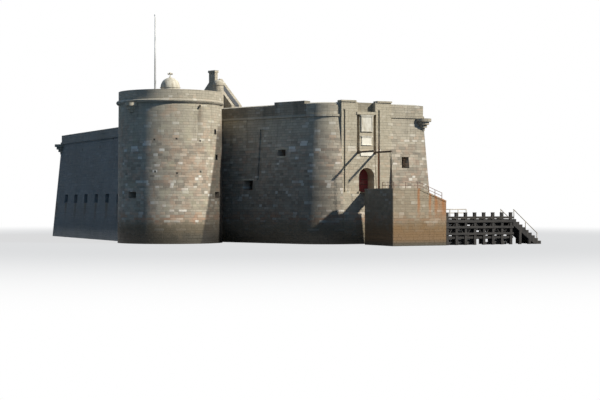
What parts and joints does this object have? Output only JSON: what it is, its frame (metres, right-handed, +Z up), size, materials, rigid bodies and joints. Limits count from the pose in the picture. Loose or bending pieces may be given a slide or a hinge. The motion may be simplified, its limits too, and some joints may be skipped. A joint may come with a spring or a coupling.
{
  "type": "sea fort scale model",
  "caption": "Half-size model of a granite sea fort with a round tower, curtain walls, drawbridge gateway, landing pier and jetty.",
  "frame": {"origin": "on the underside of the gate's masonry, under the middle of the doorway's front", "axes": "+Z up, +Y from the gate front into the fort, +X to the right seen from outside the gate"},
  "size_m": [21.1115, 30.1972, 13.315],
  "materials": {
    "granite": "rough coursed masonry",
    "granite_floor": "worn flagstones",
    "pale_render": "weathered render",
    "slate": "slates in courses",
    "red_paint": "painted boards",
    "dark_wood": "tarred timber",
    "iron": "rusted",
    "grey_metal": "weathered paint",
    "white_paint": "satin paint"
  },
  "bodies": {
    "fort": {"left_wall": "granite", "corner_walls": "granite", "left_flank_wall": "granite", "front_right_wall": "granite", "right_flank_wall": "granite", "right_wall": "granite", "back_wall": "granite", "corner_parapets": "granite", "left_flank_parapet": "granite", "right_flank_parapet": "granite", "rear_parapet": "granite", "front_terrace": "granite_floor", "rear_terrace": "granite_floor", "ground_floor": "granite_floor", "court_front_wall": "granite", "court_side_walls": "granite", "court_back_wall": "granite", "corner_corbels": "granite", "tower_wall_inner_right": "granite", "tower_wall_inner_left": "granite", "tower_wall_outer_left": "granite", "tower_wall_outer_right": "granite", "tower_floors": "granite_floor", "tower_roof": "granite_floor", "tower_parapet": "granite", "tower_corbel": "granite", "stair_turret": "pale_render", "corner_turret": "granite", "flagpole": "white_paint", "house_walls": "granite", "house_roof": "slate", "chimney": "granite", "gate_base": "granite", "gate_wall_left": "granite", "gate_wall_right": "granite", "gate_wall_over": "granite", "gate_panels": "pale_render", "landing_pier": "granite", "landing_parapet": "granite", "landing_stair": "granite", "landing_railing": "grey_metal", "jetty_deck": "dark_wood", "jetty_piles": "dark_wood", "jetty_stair": "dark_wood", "mooring_posts": "dark_wood"},
    "door_left": {"door_leaf_left": "red_paint"},
    "door_right": {"door_leaf_right": "red_paint"},
    "bridge_deck": {"drawbridge_deck": "dark_wood"},
    "bridge_beams": {"drawbridge_beams": "dark_wood"},
    "bridge_chains": {"drawbridge_chains": "iron"}
  },
  "joints": [
    {"name": "deck_hinge", "type": "hinge", "parent": "fort", "child": "bridge_deck", "pos_m": [0, -0.08, 2.9], "axis": [-1, 0, 0], "range_deg": [0, 90]},
    {"name": "beams_hinge", "type": "hinge", "parent": "fort", "child": "bridge_beams", "pos_m": [0, 0.12, 5.2], "axis": [-1, 0, 0], "range_deg": [0, 90]},
    {"name": "chains_hinge", "type": "hinge", "parent": "bridge_beams", "child": "bridge_chains", "pos_m": [0, -1.83, 5.2], "axis": [-1, 0, 0], "range_deg": [-90, 0]},
    {"name": "door_left_hinge", "type": "hinge", "parent": "fort", "child": "door_left", "pos_m": [-0.545, 0.83, 3], "axis": [0, 0, 1], "range_deg": [0, 90]},
    {"name": "door_right_hinge", "type": "hinge", "parent": "fort", "child": "door_right", "pos_m": [0.545, 0.83, 3], "axis": [0, 0, -1], "range_deg": [0, 90]}
  ],
  "couplings": [
    {"joint": "beams_hinge", "follows": "deck_hinge", "ratio": 1},
    {"joint": "chains_hinge", "follows": "deck_hinge", "ratio": -1}
  ]
}
